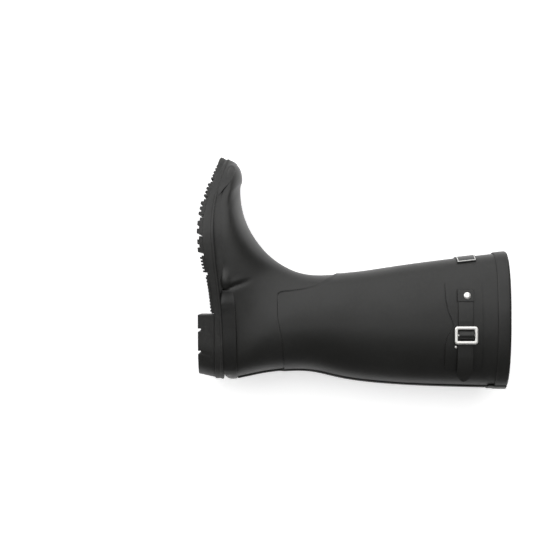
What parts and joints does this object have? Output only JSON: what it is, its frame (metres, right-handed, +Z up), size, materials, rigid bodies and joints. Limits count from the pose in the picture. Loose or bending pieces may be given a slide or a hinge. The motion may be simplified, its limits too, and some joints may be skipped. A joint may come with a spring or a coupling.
{
  "type": "rubber rain boot",
  "caption": "Tall black rubber rain boot with a lugged sole, separate heel block, rim binding and a buckled side strap.",
  "frame": {"origin": "middle of the boot's bounding box, on the floor it stands on", "axes": "+Z up the leg, -X towards the toe, -Y towards the outer (lateral) side of the left foot"},
  "size_m": [0.2888, 0.1066, 0.385],
  "materials": {
    "rubber_black": "matte to satin calendered rubber",
    "rubber_sole": "matte moulded rubber",
    "rubber_gloss": "satin rubber",
    "badge_plate": "satin, pale outline, blank",
    "metal_nickel": "satin nickel",
    "steel_shank": "plain rolled steel",
    "lining_knit": "knitted textile",
    "interlining": "rubberised fabric",
    "board_fibre": "pressed fibre board",
    "foam": "closed-cell foam",
    "footbed_tan": "tan textile cover"
  },
  "bodies": {
    "boot": {"outsole": "rubber_sole", "heel_block": "rubber_sole", "heel_core": "interlining", "midsole_filler": "foam", "shank": "steel_shank", "vamp": "rubber_black", "leg": "rubber_black", "toe_cap": "rubber_gloss", "heel_patch": "rubber_gloss", "back_strip": "rubber_black", "top_binding": "rubber_black", "toe_puff": "interlining", "heel_counter": "interlining", "foot_interlining": "interlining", "leg_interlining": "interlining", "foot_lining": "lining_knit", "leg_lining": "lining_knit", "insole_board": "board_fibre", "footbed_foam": "foam", "footbed_cover": "footbed_tan", "strap_panel": "rubber_black", "badge": "badge_plate", "strap": "rubber_black", "strap_tab": "rubber_black", "chape": "rubber_black", "chape_stud": "metal_nickel", "anchor_rivet": "metal_nickel"},
    "buckle": {"buckle_frame": "metal_nickel", "buckle_bar": "metal_nickel"},
    "tail": {"strap_tail": "rubber_black"}
  },
  "joints": [
    {"name": "buckle_tip", "type": "hinge", "parent": "boot", "child": "buckle", "pos_m": [0.07534, -0.04811, 0.32832], "axis": [0, 0, 1], "range_deg": [-2, 6]},
    {"name": "tail_lift", "type": "hinge", "parent": "boot", "child": "tail", "pos_m": [0.08789, -0.04348, 0.32832], "axis": [0, 0, -1], "range_deg": [0, 50], "stiffness_Nm_per_rad": 0.01}
  ]
}
